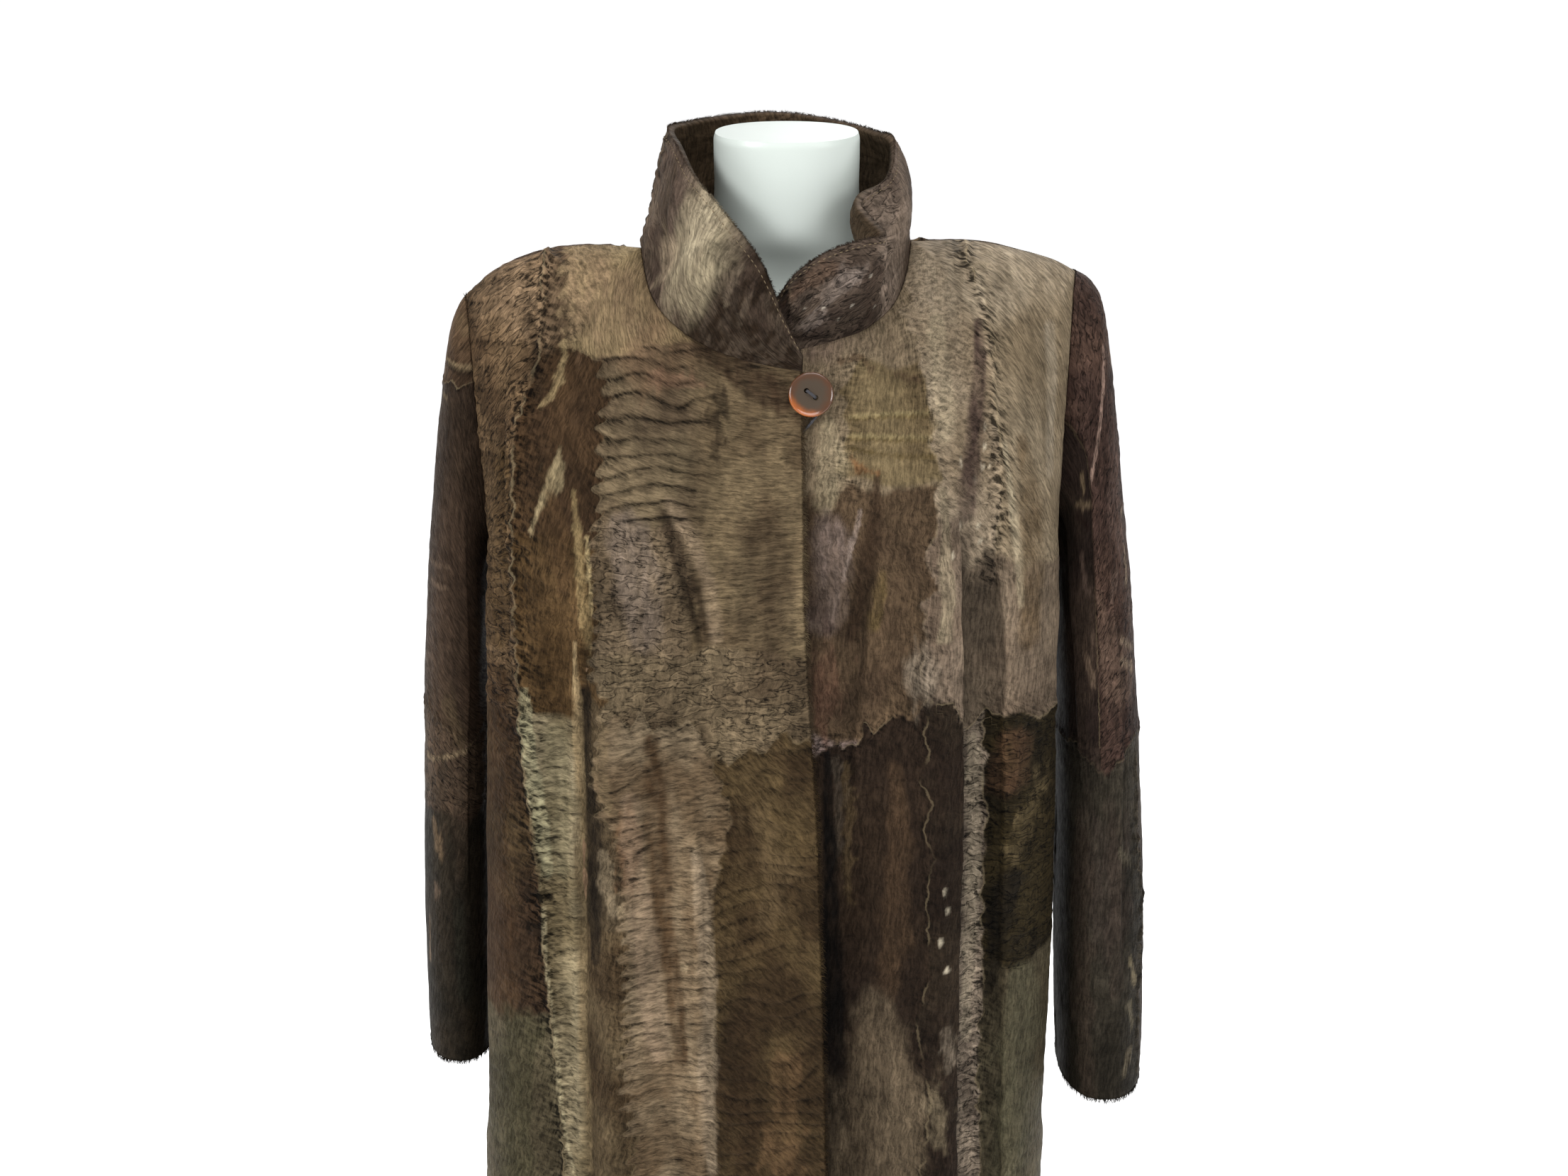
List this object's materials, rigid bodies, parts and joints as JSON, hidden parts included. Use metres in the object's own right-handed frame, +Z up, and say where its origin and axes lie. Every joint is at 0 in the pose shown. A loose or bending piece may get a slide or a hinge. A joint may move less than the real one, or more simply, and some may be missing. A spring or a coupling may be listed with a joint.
{
  "type": "broadtail fur coat on a dress form",
  "caption": "Mid-length fur coat with a crossed standing collar and one large button, worn on a limbless dress form with a pole and a round base.",
  "frame": {"origin": "on the floor under the middle of the dress form's neck, at the centre of the base's underside", "axes": "+Z up, -Y out of the coat's front, +X to the wearer's left"},
  "size_m": [0.5733, 0.3515, 1.4537],
  "materials": {
    "fur": "short flat broadtail fur with a silky sheen",
    "button_resin": "polished translucent amber resin",
    "cord": "matt grey cord",
    "form_plastic": "satin white",
    "stand_steel": "brushed"
  },
  "bodies": {
    "root": {"front_right": "fur", "front_left": "fur", "back": "fur", "sleeve_right": "fur", "sleeve_left": "fur", "collar": "fur", "button": "button_resin", "button_thread": "cord", "fastening_loop": "cord", "dress_form": "form_plastic", "stand_flange": "stand_steel", "stand_pole": "stand_steel", "stand_base": "stand_steel"}
  },
  "joints": []
}
